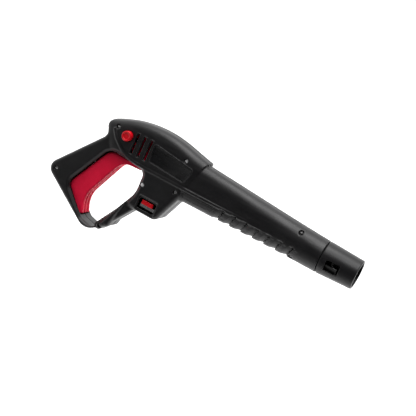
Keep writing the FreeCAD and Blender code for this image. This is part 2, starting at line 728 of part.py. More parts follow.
def shell_holes():
    """Every hole and recess in the housing."""
    holes = []
    for x, z, seat in SCREWS:
        holes.append(rod(SCREW_HEAD_RADIUS + SCREW_HEAD_FIT, Vector(x, -seat, z), -AXIS_Y, BEYOND))
        holes.append(rod(SCREW_RADIUS + SCREW_SHANK_FIT, Vector(x, -seat - 1, z), AXIS_Y, seat + 1))
        holes.append(rod(SCREW_RADIUS + PRESS_FIT, Vector(x, -1, z), AXIS_Y, SCREW_BITE + 2))
    holes.append(rod(BUTTON_RADIUS + RUN_FIT, Vector(BUTTON_X, -BEYOND, BUTTON_Z), AXIS_Y, 2 * BEYOND))
    pin_end = Vector(PIVOT_X, -PIN_HALF_LENGTH, PIVOT_Z)
    holes.append(rod(PIN_RADIUS + PRESS_FIT, pin_end, AXIS_Y, 2 * PIN_HALF_LENGTH))
    holes.append(rod(HOSE_SOCKET_RADIUS + SOCKET_FIT, Vector(INLET_X, 0, HOSE_SOCKET_TOP), -AXIS_Z, BEYOND))
    holes.append(rod(INLET_RADIUS + SOCKET_FIT, Vector(INLET_X, 0, HOSE_SEAL_Z), AXIS_Z, INLET_TUBE_LENGTH))
    holes.append(rod(TUBE_RADIUS + RUN_FIT, Vector(OUTLET_X, 0, 0), AXIS_X, TUBE_END - OUTLET_X))
    window = [
        (CATCH_WINDOW_REAR, CATCH_WINDOW_LOW, CATCH_WINDOW_CORNER),
        (CATCH_WINDOW_REAR, CATCH_WINDOW_HIGH, CATCH_WINDOW_CORNER),
        (CATCH_WINDOW_FRONT, CATCH_WINDOW_HIGH, CATCH_WINDOW_CORNER),
        (CATCH_WINDOW_FRONT, CATCH_WINDOW_LOW, CATCH_WINDOW_CORNER),
    ]
    holes.append(plate(window, -BEYOND, CATCH_BAR_OUT))
    holes.append(catch_recess())
    for side in (-1, 1):
        near = HALF_WIDTH - BADGE_POCKET
        holes.append(plate(BADGE_OUTLINE, side * near, side * BEYOND))
        low = min(side * VENT_REACH, side * BEYOND)
        for index in range(VENT_COUNT):
            x = VENT_FIRST + VENT_PITCH * index - VENT_WIDTH / 2
            holes.append(box(x, x + VENT_WIDTH, low, low + BEYOND - VENT_REACH, VENT_LOW, VENT_HIGH))
    return holes


def housing():
    """Whole housing, before it is split into its two halves."""
    outside = outer_form().fuse(ridge())
    outside = outside.cut(grip_grooves())
    solid = outside.cut(inner_form())
    solid = solid.cut(trigger_room())
    solid = solid.fuse(shell_inside())
    return solid.cut(Part.makeCompound(shell_holes()))


def biggest_solid(shape):
    return max(shape.Solids, key=lambda solid: solid.Volume)


def housing_half(whole, side):
    limits = whole.BoundBox
    near = side * SPLIT_GAP / 2
    far = side * BEYOND
    room = box(limits.XMin - 1, limits.XMax + 1, min(near, far), max(near, far), limits.ZMin - 1, limits.ZMax + 1)
    return biggest_solid(whole.common(room))


def housing_screws():
    screws = []
    for x, z, seat in SCREWS:
        head = rod(SCREW_HEAD_RADIUS, Vector(x, -seat, z), -AXIS_Y, SCREW_HEAD_HEIGHT)
        shank = rod(SCREW_RADIUS, Vector(x, -seat, z), AXIS_Y, seat + SCREW_BITE)
        top = -seat - SCREW_HEAD_HEIGHT
        wide = SLOT_HALF_LENGTH
        slim = SLOT_HALF_WIDTH
        slot = box(x - slim, x + slim, top, top + SLOT_DEPTH, z - wide, z + wide)
        cross = box(x - wide, x + wide, top, top + SLOT_DEPTH, z - slim, z + slim)
        screws.append(head.fuse(shank).cut(slot.fuse(cross)))
    return Part.makeCompound(screws)


def badge(side):
    floor = side * (HALF_WIDTH - BADGE_POCKET)
    face = side * (HALF_WIDTH - BADGE_SINK)
    return plate(BADGE_OUTLINE, min(floor, face), max(floor, face), -BADGE_FIT)


# ---- controls ----
def trigger():
    blade = plate(TRIGGER_OUTLINE, -TRIGGER_HALF_WIDTH, TRIGGER_HALF_WIDTH)
    rims = []
    for edge in blade.Edges:
        limits = edge.BoundBox
        if limits.YLength < SAME_PLACE:
            rims.append(edge)
    blade = blade.makeFillet(TRIGGER_EDGE_RADIUS, rims)
    skin = plate(TRIGGER_OUTLINE, -TRIGGER_HALF_WIDTH, TRIGGER_HALF_WIDTH)
    skin = skin.cut(plate(TRIGGER_OUTLINE, -TRIGGER_HALF_WIDTH, TRIGGER_HALF_WIDTH, -TRIGGER_GROOVE_DEPTH))
    limits = blade.BoundBox
    front = PIVOT_X - TRIGGER_GROOVE_END
    half = TRIGGER_GROOVE_WIDTH / 2
    for side in (-1, 1):
        middle = side * TRIGGER_GROOVE_Y
        strip = box(limits.XMin, front, middle - half, middle + half, limits.ZMin, TRIGGER_GROOVE_TOP)
        blade = blade.cut(skin.common(strip))
    lever = plate(LEVER_OUTLINE, -LEVER_HALF_WIDTH, LEVER_HALF_WIDTH)
    hub_end = Vector(PIVOT_X, -TRIGGER_HALF_WIDTH, PIVOT_Z)
    hub = rod(TRIGGER_HUB_RADIUS, hub_end, AXIS_Y, 2 * TRIGGER_HALF_WIDTH)
    solid = fuse_all([blade, lever, hub])
    return solid.cut(rod(PIN_RADIUS + RUN_FIT, hub_end, AXIS_Y, 2 * TRIGGER_HALF_WIDTH))


def trigger_pin():
    return rod(PIN_RADIUS, Vector(PIVOT_X, -PIN_HALF_LENGTH, PIVOT_Z), AXIS_Y, 2 * PIN_HALF_LENGTH)


def trigger_spring():
    start = Vector(PIVOT_X + SPRING_STOP_FRONT + SPRING_WIRE + SPRING_SEAT, 0, SPRING_HEIGHT)
    return coil(SPRING_COIL, SPRING_WIRE, SPRING_TURNS, start, AXIS_X, SPRING_LENGTH)


def safety_button():
    right = -HALF_WIDTH - BUTTON_PROUD
    left = HALF_WIDTH + BUTTON_TAIL_PROUD
    face = Vector(BUTTON_X, right, BUTTON_Z)
    head = rod(BUTTON_RADIUS, face, AXIS_Y, BUTTON_HEAD)
    flat_edges = [edge for edge in head.Edges if edge.BoundBox.YLength < SAME_PLACE]
    rim = [edge for edge in flat_edges if abs(edge.BoundBox.YMin - right) < SAME_PLACE]
    head = head.makeFillet(BUTTON_ROUND, rim)
    head = head.cut(rod(BUTTON_RADIUS - BUTTON_DISH, face, AXIS_Y, BUTTON_DISH_DEPTH))
    neck_start = Vector(BUTTON_X, right + BUTTON_HEAD / 2, BUTTON_Z)
    neck = rod(BUTTON_NECK, neck_start, AXIS_Y, left - right - BUTTON_HEAD)
    tail = rod(BUTTON_RADIUS, Vector(BUTTON_X, left - BUTTON_TAIL, BUTTON_Z), AXIS_Y, BUTTON_TAIL)
    return fuse_all([head, neck, tail])


# ---- water way ----
def valve_body():
    solid = valve_block()
    side = PASSAGE_SIDE
    chamber = Vector(VALVE_REAR + CHAMBER_FROM_REAR, 0, VALVE_HEIGHT)
    passage = Vector(VALVE_REAR + PASSAGE_FROM_REAR, side, VALVE_HEIGHT)
    outlet = Vector(OUTLET_X, 0, 0)
    cross = Vector(OUTLET_X, -PASSAGE_OVERLAP, VALVE_HEIGHT)
    neck = Vector(INLET_X, 0, NECK_LOW)
    groove = Vector(OUTLET_SEAL_X - SEAL_GROOVE_WIDTH / 2, 0, 0)
    seat = outlet + AXIS_X * OUTLET_SEAT
    cuts = [
        rod(VALVE_BORE, Vector(VALVE_REAR, 0, VALVE_HEIGHT), AXIS_X, VALVE_BORE_LENGTH),
        rod(CHAMBER_DRILL, chamber, AXIS_Y, side),
        rod(PASSAGE_DRILL, passage, AXIS_X, OUTLET_X - passage.x + PASSAGE_PAST_OUTLET),
        rod(CROSS_DRILL, cross, AXIS_Y, side + PASSAGE_OVERLAP),
        rod(DROP_DRILL, outlet, AXIS_Z, VALVE_HEIGHT - PASSAGE_OVERLAP / 2),
        rod(TUBE_BORE, outlet - AXIS_X * OUTLET_POCKET, AXIS_X, PIVOT_X + LEG_FRONT - OUTLET_X),
        rod(TUBE_RADIUS, seat, AXIS_X, PIVOT_X + LEG_FRONT - seat.x),
        rod(INLET_BORE, neck, AXIS_Z, VALVE_HEIGHT - NECK_LOW),
        rod(INLET_RADIUS, neck, AXIS_Z, NECK_SEAT),
        rod(TUBE_RADIUS + SEAL_GROOVE_DEPTH, groove, AXIS_X, SEAL_GROOVE_WIDTH),
    ]
    for cut in cuts:
        solid = solid.cut(cut)
    return solid


def stem_guide():
    return tube(VALVE_BORE, STEM_RADIUS + RUN_FIT, Vector(VALVE_REAR, 0, VALVE_HEIGHT), AXIS_X, GUIDE_LENGTH)


def stem_seal():
    centre = Vector(VALVE_REAR + GUIDE_LENGTH + STEM_SEAL_WIRE + SEAL_AIR, 0, VALVE_HEIGHT)
    return ring(STEM_RADIUS + RUN_FIT + STEM_SEAL_WIRE, STEM_SEAL_WIRE, centre, AXIS_X)


def valve_seat():
    return tube(VALVE_BORE, SEAT_BORE, Vector(SEAT_FRONT - SEAT_THICK, 0, VALVE_HEIGHT), AXIS_X, SEAT_THICK)


def ball_centre_x():
    return SEAT_FRONT + math.sqrt(BALL_RADIUS ** 2 - SEAT_BORE ** 2)


def valve_ball():
    return Part.makeSphere(BALL_RADIUS, Vector(ball_centre_x(), 0, VALVE_HEIGHT))


def valve_stem():
    tip = ball_centre_x() - BALL_RADIUS - STEM_GAP
    rear = Vector(STEM_REAR, 0, VALVE_HEIGHT)
    shank = rod(STEM_RADIUS, rear, AXIS_X, tip - STEM_REAR)
    return shank.fuse(rod(STEM_HEAD_RADIUS, rear, AXIS_X, STEM_HEAD_LENGTH))


def valve_spring():
    gap = VALVE_SPRING_WIRE + SEAL_AIR
    start = ball_centre_x() + BALL_RADIUS + gap
    length = VALVE_REAR + VALVE_BORE_LENGTH - gap - start
    foot = Vector(start, 0, VALVE_HEIGHT)
    return coil(VALVE_SPRING_COIL, VALVE_SPRING_WIRE, VALVE_SPRING_TURNS, foot, AXIS_X, length)


def inlet_tube():
    return tube(INLET_RADIUS, INLET_BORE, Vector(INLET_X, 0, INLET_TUBE_LOW), AXIS_Z, INLET_TUBE_LENGTH)


def hose_socket():
    length = HOSE_SOCKET_TOP - HOSE_SOCKET_END
    base = Vector(INLET_X, 0, HOSE_SOCKET_END)
    solid = rod(HOSE_SOCKET_RADIUS, base, AXIS_Z, length)
    solid = solid.cut(rod(HOSE_BORE, base, AXIS_Z, HOSE_PLUG_LENGTH))
    solid = solid.cut(rod(INLET_BORE, base, AXIS_Z, length))
    solid = solid.cut(rod(INLET_RADIUS, Vector(INLET_X, 0, INLET_TUBE_LOW), AXIS_Z, length))
    groove_low = Vector(INLET_X, 0, HOSE_SEAL_Z - HOSE_GROOVE_WIDTH / 2)
    solid = solid.cut(rod(HOSE_BORE + HOSE_GROOVE_DEPTH, groove_low, AXIS_Z, HOSE_GROOVE_WIDTH))
    wide = HOSE_SOCKET_RADIUS + 1.0
    flat = CATCH_BAR_IN + CATCH_PUSH_ROOM
    low = CATCH_Z - CATCH_FLAT_LOW
    high = CATCH_Z + CATCH_FLAT_HIGH
    solid = solid.cut(box(INLET_X - wide, INLET_X + wide, -HALF_WIDTH, flat, low, high))
    half = CATCH_LEG_THICK / 2 + CATCH_SLOT_FIT
    inner = CATCH_LEG_SPAN - CATCH_LEG_WIDTH / 2 - CATCH_SLOT_SIDE
    for side in (-1, 1):
        near = INLET_X + side * inner
        far = INLET_X + side * wide
        solid = solid.cut(box(min(near, far), max(near, far), -wide, wide, CATCH_Z - half, CATCH_Z + half))
    return solid


def hose_seal():
    return ring(HOSE_BORE + HOSE_SEAL_WIRE + SEAL_AIR, HOSE_SEAL_WIRE, Vector(INLET_X, 0, HOSE_SEAL_Z), AXIS_Z)


def outlet_tube():
    start = OUTLET_X + OUTLET_SEAT
    return tube(TUBE_RADIUS, TUBE_BORE, Vector(start, 0, 0), AXIS_X, TUBE_END - start)


def outlet_seal():
    return ring(TUBE_RADIUS + OUTLET_SEAL_WIRE + PRESS_FIT, OUTLET_SEAL_WIRE, Vector(OUTLET_SEAL_X, 0, 0), AXIS_X)


# ---- hose catch ----
def catch_plate():
    """U-shaped latch: a cross bar behind the button and a leg each side of the hose bore."""
    half = CATCH_LEG_THICK / 2
    parts = []
    for side in (-1, 1):
        middle = INLET_X + side * CATCH_LEG_SPAN
        rear = middle - CATCH_LEG_WIDTH / 2
        front = rear + CATCH_LEG_WIDTH
        parts.append(box(rear, front, CATCH_BAR_OUT, CATCH_LEG_END, CATCH_Z - half, CATCH_Z + half))
    wide = CATCH_LEG_SPAN + CATCH_LEG_WIDTH / 2
    low = CATCH_Z - CATCH_BAR_LOW
    high = CATCH_Z + CATCH_BAR_HIGH
    parts.append(box(INLET_X - wide, INLET_X + wide, CATCH_BAR_OUT, CATCH_BAR_IN, low, high))
    return fuse_all(parts)


def catch_button():
    rear = INLET_X - CATCH_BUTTON_REAR
    front = INLET_X + CATCH_BUTTON_FRONT
    body = box(rear, front, CATCH_FACE, CATCH_BAR_IN, CATCH_Z + CATCH_BUTTON_LOW, CATCH_Z + CATCH_BUTTON_HIGH)
    return body.makeFillet(CATCH_BUTTON_ROUND, body.Edges)


def catch_springs():
    springs = []
    for side in (-1, 1):
        start = Vector(INLET_X + side * CATCH_LEG_SPAN, CATCH_LEG_END + CATCH_SPRING_GAP, CATCH_Z)
        turns = CATCH_SPRING_TURNS
        springs.append(coil(CATCH_SPRING_COIL, CATCH_SPRING_WIRE, turns, start, AXIS_Y, CATCH_SPRING_LENGTH))
    return Part.makeCompound(springs)


# ---- nose ----
def nose_collar():
    """Turned profile of the collar with its rear spigot, then its two windows."""
    spigot_end = COLLAR_START - SPIGOT_LENGTH
    lip = LIP_RADIUS
    points = [
        Vector(spigot_end, 0, SPIGOT_RADIUS),
        Vector(SPIGOT_GROOVE_START, 0, SPIGOT_RADIUS),
        Vector(SPIGOT_GROOVE_START, 0, SPIGOT_RADIUS - SPIGOT_GROOVE),
        Vector(SPIGOT_GROOVE_START + SPIGOT_GROOVE_WIDTH, 0, SPIGOT_RADIUS - SPIGOT_GROOVE),
        Vector(SPIGOT_GROOVE_START + SPIGOT_GROOVE_WIDTH, 0, SPIGOT_RADIUS),
        Vector(COLLAR_START, 0, SPIGOT_RADIUS),
        Vector(COLLAR_START, 0, BARREL_RADIUS - COLLAR_CHAMFER),
        Vector(COLLAR_START + COLLAR_CHAMFER, 0, BARREL_RADIUS),
        Vector(-lip, 0, MUZZLE_RADIUS),
    ]
    profile = [Part.LineSegment(points[i], points[i + 1]).toShape() for i in range(len(points) - 1)]
    start = points[-1]
    middle = Vector(-lip + lip * math.sin(math.pi / 4), 0, MUZZLE_RADIUS - lip + lip * math.cos(math.pi / 4))
    end = Vector(0, 0, MUZZLE_RADIUS - lip)
    profile.append(Part.Arc(start, middle, end).toShape())
    inner = [
        end,
        Vector(0, 0, SOCKET_RADIUS),
        Vector(-SOCKET_LENGTH, 0, SOCKET_RADIUS),
        Vector(-SOCKET_LENGTH - SEAT_STEP, 0, SEAT_RADIUS),
        Vector(INSERT_START, 0, SEAT_RADIUS),
        Vector(INSERT_START, 0, SLEEVE_ROOM),
        Vector(spigot_end + BULKHEAD, 0, SLEEVE_ROOM),
        Vector(spigot_end + BULKHEAD, 0, TUBE_RADIUS + TUBE_FIT),
        Vector(spigot_end, 0, TUBE_RADIUS + TUBE_FIT),
        points[0],
    ]
    profile += [Part.LineSegment(inner[i], inner[i + 1]).toShape() for i in range(len(inner) - 1)]
    solid = Part.Face(Part.Wire(profile)).revolve(Vector(0, 0, 0), AXIS_X, 360)
    window = [
        (WINDOW_START, WINDOW_LOW, WINDOW_CORNER),
        (WINDOW_START, WINDOW_HIGH, WINDOW_CORNER),
        (WINDOW_END, WINDOW_HIGH, WINDOW_CORNER),
        (WINDOW_END, WINDOW_LOW, WINDOW_CORNER),
    ]
    return solid.cut(plate(window, -BEYOND, BEYOND))


def bayonet_insert():
    """Guide ring with a ribbed lower trough that the lance's lugs run in."""
    outside = SEAT_RADIUS
    start = Vector(INSERT_START, 0, 0)
    whole = tube(outside, outside - INSERT_RING_WALL, start, AXIS_X, INSERT_RING_LENGTH)
    inside = outside - TROUGH_WALL
    trough = tube(outside, inside, start, AXIS_X, TROUGH_LENGTH)
    end = INSERT_START + TROUGH_LENGTH
    trough = trough.common(box(INSERT_START, end, -outside, outside, -outside, TROUGH_TOP))
    ribs = []
    for index in range(TROUGH_RIBS):
        angle = math.radians(-90 + TROUGH_RIB_STEP * (index - (TROUGH_RIBS - 1) / 2))
        foot = Vector(INSERT_START, inside * math.cos(angle), inside * math.sin(angle))
        ribs.append(rod(TROUGH_RIB_RADIUS, foot, AXIS_X, TROUGH_LENGTH))
    return fuse_all([whole, trough] + ribs)


def lance_sleeve():
    """Sprung seal carrier, ribbed outside, sliding on the front end of the outlet tube."""
    rear = Vector(SLEEVE_REAR, 0, 0)
    solid = rod(SLEEVE_RADIUS, rear, AXIS_X, SLEEVE_LENGTH)
    ribs = []
    for index in range(SLEEVE_RIBS):
        angle = 2 * math.pi * index / SLEEVE_RIBS
        foot = Vector(SLEEVE_REAR, SLEEVE_RADIUS * math.cos(angle), SLEEVE_RADIUS * math.sin(angle))
        ribs.append(rod(SLEEVE_RIB_RADIUS, foot, AXIS_X, SLEEVE_LENGTH))
    solid = fuse_all([solid] + ribs)
    socket = TUBE_END - SLEEVE_REAR + SLEEVE_TRAVEL + SLEEVE_END_PLAY
    solid = solid.cut(rod(TUBE_RADIUS + RUN_FIT, rear, AXIS_X, socket))
    solid = solid.cut(rod(SLEEVE_THROAT, rear, AXIS_X, SLEEVE_LENGTH))
    return solid.cut(ring(LANCE_SEAL_RADIUS, LANCE_SEAL_GROOVE, rear + AXIS_X * SLEEVE_LENGTH, AXIS_X))


def lance_seal():
    return ring(LANCE_SEAL_RADIUS, LANCE_SEAL_WIRE, Vector(SLEEVE_REAR + SLEEVE_LENGTH, 0, 0), AXIS_X)


def sleeve_spring():
    """Spring between the collar's bulkhead and the seal carrier."""
    wire = SLEEVE_SPRING_WIRE
    start = COLLAR_START - SPIGOT_LENGTH + BULKHEAD + wire
    length = SLEEVE_REAR - wire - start
    return coil(SLEEVE_SPRING_COIL, wire, SLEEVE_SPRING_TURNS, Vector(start, 0, 0), AXIS_X, length)


def main():
    whole = housing()
    nodes = {
        "housing_right": housing_half(whole, -1),
        "housing_left": housing_half(whole, 1),
        "housing_screws": housing_screws(),
        "badge_right": badge(-1),
        "badge_left": badge(1),
        "trigger": trigger(),
        "trigger_pin": trigger_pin(),
        "trigger_spring": trigger_spring(),
        "safety_button": safety_button(),
        "valve_body": valve_body(),
        "stem_guide": stem_guide(),
        "stem_seal": stem_seal(),
        "valve_seat": valve_seat(),
        "valve_ball": valve_ball(),
        "valve_stem": valve_stem(),
        "valve_spring": valve_spring(),
        "inlet_tube": inlet_tube(),
        "hose_socket": hose_socket(),
        "hose_seal": hose_seal(),
        "outlet_tube": outlet_tube(),
        "outlet_seal": outlet_seal(),
        "catch_plate": catch_plate(),
        "catch_button": catch_button(),
        "catch_springs": catch_springs(),
        "nose_collar": nose_collar(),
        "bayonet_insert": bayonet_insert(),
        "lance_sleeve": lance_sleeve(),
        "sleeve_spring": sleeve_spring(),
        "lance_seal": lance_seal(),
    }
    os.makedirs("parts", exist_ok=True)
    for name, shape in nodes.items():
        print(name, shape.isValid(), len(shape.Solids), round(shape.Volume, 1))
        shape.exportStep("parts/" + name + ".step")


main()
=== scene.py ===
import json
import math

import bmesh
import bpy
from mathutils import Matrix, Vector
from mathutils.bvhtree import BVHTree


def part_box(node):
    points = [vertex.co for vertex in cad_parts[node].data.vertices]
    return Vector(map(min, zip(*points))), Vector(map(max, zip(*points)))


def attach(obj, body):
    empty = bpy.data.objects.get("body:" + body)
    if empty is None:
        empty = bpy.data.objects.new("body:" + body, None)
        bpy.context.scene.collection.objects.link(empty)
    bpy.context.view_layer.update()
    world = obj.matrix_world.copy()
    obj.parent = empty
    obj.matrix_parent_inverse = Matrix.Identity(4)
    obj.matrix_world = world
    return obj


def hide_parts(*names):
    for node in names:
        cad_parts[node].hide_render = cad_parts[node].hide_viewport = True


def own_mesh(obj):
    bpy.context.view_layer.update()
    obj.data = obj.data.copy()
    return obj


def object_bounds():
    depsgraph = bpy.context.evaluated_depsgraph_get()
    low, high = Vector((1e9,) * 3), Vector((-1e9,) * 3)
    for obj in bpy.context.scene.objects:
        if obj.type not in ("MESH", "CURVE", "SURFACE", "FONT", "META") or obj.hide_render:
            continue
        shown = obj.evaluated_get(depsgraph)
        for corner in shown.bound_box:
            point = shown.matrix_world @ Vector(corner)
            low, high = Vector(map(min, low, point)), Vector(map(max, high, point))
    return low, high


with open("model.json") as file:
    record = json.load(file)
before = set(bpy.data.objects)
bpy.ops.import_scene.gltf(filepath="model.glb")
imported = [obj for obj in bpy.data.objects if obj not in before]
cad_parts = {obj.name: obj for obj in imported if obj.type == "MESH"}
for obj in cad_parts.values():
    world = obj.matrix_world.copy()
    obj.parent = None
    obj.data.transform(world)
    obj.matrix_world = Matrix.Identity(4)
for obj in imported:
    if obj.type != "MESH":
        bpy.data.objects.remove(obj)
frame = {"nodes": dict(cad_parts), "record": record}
cad_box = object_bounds()

MM = 0.001

# ---- camera: where it looks, from how far, and how it is turned ----
VIEW_TARGET = Vector((-0.2095, 0.0, -0.0152))
VIEW_DISTANCE = 1.1598
VIEW_AZIMUTH = math.radians(17.0)
VIEW_ELEVATION = math.radians(14.0)
VIEW_ROLL = math.radians(24.16)
LENS_MM = 77.88
SENSOR_MM = 36.0

# ---- studio ----
FLOOR_DROP = 0.55
FLOOR_SIZE = 30.0
FLOOR_FRONT = 0.30
DARK_CONE_WIDE = -0.35
DARK_CONE_TIGHT = 0.70
FRONT_LIGHT = 0.03
BACKDROP_STRENGTH = 1.05     # what the camera sees behind the gun
ROOM_LIGHT = 1.6
OVERHEAD_STRENGTH = 3.5
OVERHEAD_TILT = math.radians(16)
OVERHEAD_SPREAD = math.radians(50)

# ---- mouldings: how finely each is rebuilt ----
SHELL_GRAIN = 0.8 * MM
COLLAR_GRAIN = 0.5 * MM
TRIGGER_GRAIN = 0.6 * MM
BUTTON_GRAIN = 0.35 * MM
CATCH_GRAIN = 0.3 * MM
SHELL_TRIANGLES = 185000
MERGE_DISTANCE = 0.002 * MM
SLIDING_FIT = 0.18 * MM

# ---- finishes ----
STREAK_DEPTH = 0.04 * MM
BLOOM_DEPTH = 0.05 * MM

# ---- springs ----
SPRING_POINTS = 420
SPRING_SIDES = 14
CLOSED_TURN_LIFT = 1.9       # rise of a closed end turn, in wire radii

# ---- screws ----
SCREW_SIDES = 40
SCREW_HEAD_HEIGHT = 2.2 * MM
SCREW_SHANK_RADIUS = 1.5 * MM
SCREW_RIM_SHARE = 0.6        # straight part of the head, the rest is its sloping edge
SCREW_TOP_SHARE = 0.72       # radius of the head's flat top
CROSS_LENGTH_SHARE = 1.35    # cross recess: long side, short side and depth
CROSS_WIDTH_SHARE = 0.32
CROSS_DEPTH_SHARE = 1.2
SHARP_ANGLE = math.radians(35)

# ---- raised beads on the housing's sides, from the trigger pivot forward and up from the barrel axis ----
BESIDE_GUN = 0.1
BEAD_SIDES = 12
BEAD_RADIUS = 0.5 * MM
BEAD_SINK = 0.1 * MM
CORNER_STEPS = 6
EDGE_STEPS = 10
VENT_COUNT = 3
VENT_FIRST = -11.5 * MM
VENT_PITCH = 10.4 * MM
VENT_LOW = 5.0 * MM
VENT_HIGH = 33.0 * MM
VENT_FRAME_WIDTH = 5.6 * MM
VENT_FRAME_ROOM = 1.0 * MM
VENT_FRAME_CORNER = 1.4 * MM
BADGE_FRAME = [(16.6 * MM, 6.4 * MM), (13.4 * MM, 32.2 * MM), (78.0 * MM, 23.9 * MM), (71.2 * MM, 2.7 * MM)]
BADGE_FRAME_CORNER = 4.0 * MM
SIDE_FIELD = [
    (71.5 * MM, -8.0 * MM),
    (76.0 * MM, -15.4 * MM),
    (119.0 * MM, -14.0 * MM),
    (123.0 * MM, -7.2 * MM),
]
SIDE_FIELD_CORNER = 1.5 * MM

# ---- name plates, left blank ----
PLATE_TOLERANCE = 0.01 * MM
PLATE_RIM = 1.1 * MM
PLATE_DEPTH = 0.35 * MM
PLATE_EDGE = 0.18 * MM


# ------------------------------------------------------------------ node helpers
def new_material(name):
    material = bpy.data.materials.new(name)
    material.use_nodes = True
    tree = material.node_tree
    tree.nodes.clear()
    out = tree.nodes.new("ShaderNodeOutputMaterial")
    shader = tree.nodes.new("ShaderNodeBsdfPrincipled")
    tree.links.new(shader.outputs["BSDF"], out.inputs["Surface"])
    return material, tree, shader


def object_coordinates(tree):
    return tree.nodes.new("ShaderNodeTexCoord").outputs["Object"]


def noise(tree, vector, scale, detail=3.0, roughness=0.5, stretch=None):
    if stretch is not None:
        mapping = tree.nodes.new("ShaderNodeMapping")
        mapping.inputs["Scale"].default_value = stretch
        tree.links.new(vector, mapping.inputs["Vector"])
        vector = mapping.outputs["Vector"]
    node = tree.nodes.new("ShaderNodeTexNoise")
    node.inputs["Scale"].default_value = scale
    node.inputs["Detail"].default_value = detail
    node.inputs["Roughness"].default_value = roughness
    tree.links.new(vector, node.inputs["Vector"])
    return node.outputs["Fac"]


def ramp(tree, factor, stops):
    node = tree.nodes.new("ShaderNodeValToRGB")
    elements = node.color_ramp.elements
    while len(elements) < len(stops):
        elements.new(0.5)
    for element, (place, colour) in zip(elements, stops):
        element.position = place
        element.color = (*colour, 1.0)
    tree.links.new(factor, node.inputs["Fac"])
    return node.outputs["Color"]


def map_range(tree, value, low, high, to_low, to_high):
    node = tree.nodes.new("ShaderNodeMapRange")
    node.inputs["From Min"].default_value = low
    node.inputs["From Max"].default_value = high
    node.inputs["To Min"].default_value = to_low
    node.inputs["To Max"].default_value = to_high
    tree.links.new(value, node.inputs["Value"])
    return node.outputs["Result"]


def mix_colour(tree, factor, first, second):
    node = tree.nodes.new("ShaderNodeMix")
    node.data_type = "RGBA"
    tree.links.new(factor, node.inputs["Factor"])
    for socket, value in ((node.inputs[6], first), (node.inputs[7], second)):
        if isinstance(value, tuple):
            socket.default_value = (*value, 1.0)
        else:
            tree.links.new(value, socket)
    return node.outputs[2]


def bump(tree, height, strength, distance, normal=None):
    node = tree.nodes.new("ShaderNodeBump")
    node.inputs["Strength"].default_value = strength
    node.inputs["Distance"].default_value = distance
    tree.links.new(height, node.inputs["Height"])
    if normal is not None:
        tree.links.new(normal, node.inputs["Normal"])
    return node.outputs["Normal"]


def edge_wear(tree, low, high):
    """0 on flats, 1 on the outermost edges, broken up by a coarse noise."""
    geometry = tree.nodes.new("ShaderNodeNewGeometry")
    edges = map_range(tree, geometry.outputs["Pointiness"], low, high, 0.0, 1.0)
    patches = noise(tree, object_coordinates(tree), 90.0, 4.0, 0.65)
    patches = map_range(tree, patches, 0.42, 0.62, 0.0, 1.0)
    node = tree.nodes.new("ShaderNodeMath")
    node.operation = "MULTIPLY"
    tree.links.new(edges, node.inputs[0])
    tree.links.new(patches, node.inputs[1])
    return node.outputs["Value"]


# ------------------------------------------------------------------ finishes
def moulded_plastic(name, dark, light, gloss, grain_size, grain_depth, worn, wear=(0.52, 0.58), shine=0.5):
    """Moulded plastic: mottled colour, spark-eroded grain, faint drag marks and rubbed edges."""
    material, tree, shader = new_material(name)
    shader.inputs["Specular IOR Level"].default_value = shine
    place = object_coordinates(tree)
    mottle = noise(tree, place, 45.0, 4.0, 0.6)
    base = ramp(tree, mottle, [(0.35, dark), (0.65, light)])
    rubbed = edge_wear(tree, *wear)
    base = mix_colour(tree, rubbed, base, worn)
    tree.links.new(base, shader.inputs["Base Color"])
    drag = noise(tree, place, 260.0, 2.0, 0.5, (0.12, 1.0, 1.0))
    fine = noise(tree, place, 1.0 / grain_size, 2.0, 0.6)
    low, high = gloss
    tree.links.new(map_range(tree, drag, 0.3, 0.7, low, high), shader.inputs["Roughness"])
    normal = bump(tree, fine, 0.5, grain_depth)
    normal = bump(tree, drag, 0.15, grain_depth, normal)
    tree.links.new(normal, shader.inputs["Normal"])
    return material


def brushed_metal(name, colour, gloss, along, streak_scale=700.0):
    """Drawn or turned metal with streaks along one axis and a faint stain."""
    material, tree, shader = new_material(name)
    shader.inputs["Metallic"].default_value = 1.0
    place = object_coordinates(tree)
    streaks = noise(tree, place, streak_scale, 3.0, 0.6, along)
    stain = noise(tree, place, 60.0, 4.0, 0.6)
    darker = tuple(channel * 0.72 for channel in colour)
    tree.links.new(ramp(tree, stain, [(0.35, darker), (0.6, colour)]), shader.inputs["Base Color"])
    low, high = gloss
    tree.links.new(map_range(tree, streaks, 0.3, 0.7, low, high), shader.inputs["Roughness"])
    tree.links.new(bump(tree, streaks, 0.3, STREAK_DEPTH), shader.inputs["Normal"])
    return material


def soft_rubber(name):
    """Black seal rubber with a faint grey bloom."""
    material, tree, shader = new_material(name)
    place = object_coordinates(tree)
    bloom = noise(tree, place, 150.0, 4.0, 0.6)
    tree.links.new(ramp(tree, bloom, [(0.3, (0.006, 0.006, 0.006)), (0.7, (0.02, 0.02, 0.021))]),
                   shader.inputs["Base Color"])
    tree.links.new(map_range(tree, bloom, 0.3, 0.7, 0.55, 0.8), shader.inputs["Roughness"])
    tree.links.new(bump(tree, bloom, 0.3, BLOOM_DEPTH), shader.inputs["Normal"])
    return material


def pale_floor():
    """White studio paper."""
    material, tree, shader = new_material("floor_paper")
    place = object_coordinates(tree)
    fibre = noise(tree, place, 6.0, 3.0, 0.5)
    tree.links.new(ramp(tree, fibre, [(0.3, (0.93, 0.93, 0.93)), (0.7, (0.95, 0.95, 0.95))]),
                   shader.inputs["Base Color"])
    shader.inputs["Roughness"].default_value = 0.9
    shader.inputs["Specular IOR Level"].default_value = 0.2
    return material


